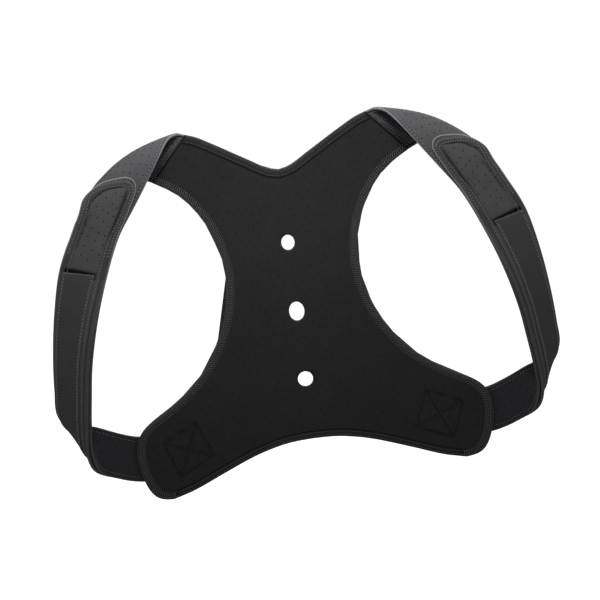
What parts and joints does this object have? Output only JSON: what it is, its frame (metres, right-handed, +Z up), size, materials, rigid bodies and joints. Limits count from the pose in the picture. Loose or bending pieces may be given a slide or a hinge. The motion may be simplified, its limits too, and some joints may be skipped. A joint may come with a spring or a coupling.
{
  "type": "posture corrector",
  "caption": "X-shaped neoprene upper-back brace with shoulder straps that loop over the shoulders, pass under the arms and double back through rings on the lower lobes.",
  "frame": {"origin": "on the panel's inner face, on the spine, midway between the upper two holes, where it rests on the wearer's back", "axes": "+X along the width to the wearer's left, +Y from the wearer's front to back, +Z up"},
  "size_m": [0.4852, 0.1248, 0.3538],
  "materials": {
    "panel_neoprene": "matte, perforated fabric-faced neoprene",
    "strap_neoprene": "matte, perforated fabric-faced neoprene",
    "loop_fabric": "matte brushed loop fabric",
    "ring_plastic": "satin moulded plastic",
    "webbing": "matte woven webbing"
  },
  "bodies": {
    "root": {"back_panel": "panel_neoprene", "shoulder_strap_left": "strap_neoprene", "shoulder_strap_right": "strap_neoprene", "strap_facing_left": "loop_fabric", "strap_facing_right": "loop_fabric", "strap_ring_left": "ring_plastic", "strap_ring_right": "ring_plastic", "ring_tab_left": "webbing", "ring_tab_right": "webbing"}
  },
  "joints": []
}
